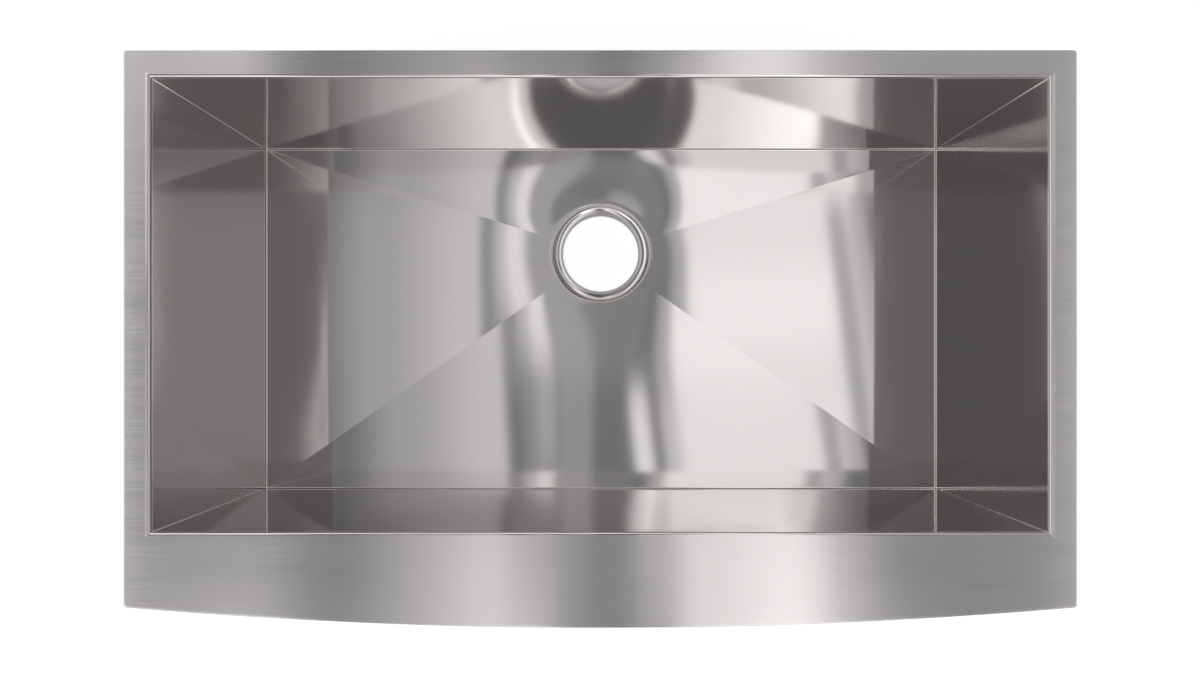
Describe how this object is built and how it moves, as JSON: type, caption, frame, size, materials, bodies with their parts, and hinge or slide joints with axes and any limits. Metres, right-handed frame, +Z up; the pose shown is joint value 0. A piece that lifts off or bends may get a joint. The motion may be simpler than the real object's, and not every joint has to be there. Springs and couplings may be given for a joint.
{
  "type": "apron front kitchen sink",
  "caption": "Single-bowl stainless kitchen sink with square corners, creased floor, off-centre drain recess and a bowed apron front.",
  "frame": {"origin": "under the middle of the sink's bounding box, on the plane of the apron's lower edge and the drain recess, on which it stands", "axes": "+X to the right along the sink's length, +Y from the apron towards the wall, +Z up"},
  "size_m": [0.838, 0.508, 0.254],
  "materials": {
    "stainless": "brushed along the length, satin",
    "weld_metal": "as-welded bead",
    "pad_rubber": "matt",
    "undercoat": "sprayed, lightly pebbled"
  },
  "bodies": {
    "root": {"bowl": "stainless", "deck": "stainless", "apron": "stainless", "apron_bottom_strip": "stainless", "apron_brace_left": "stainless", "apron_brace_center": "stainless", "apron_brace_right": "stainless", "corner_welds": "weld_metal", "rim_weld": "weld_metal", "deck_apron_weld": "weld_metal", "bottom_strip_welds": "weld_metal", "apron_flange_welds": "weld_metal", "floor_pad_left": "pad_rubber", "floor_pad_right": "pad_rubber", "floor_pad_front": "pad_rubber", "side_pad_left": "pad_rubber", "side_pad_right": "pad_rubber", "rear_pad_left": "pad_rubber", "rear_pad_right": "pad_rubber", "front_pad_left": "pad_rubber", "front_pad_right": "pad_rubber", "apron_pad": "pad_rubber", "undercoat": "undercoat"}
  },
  "joints": []
}
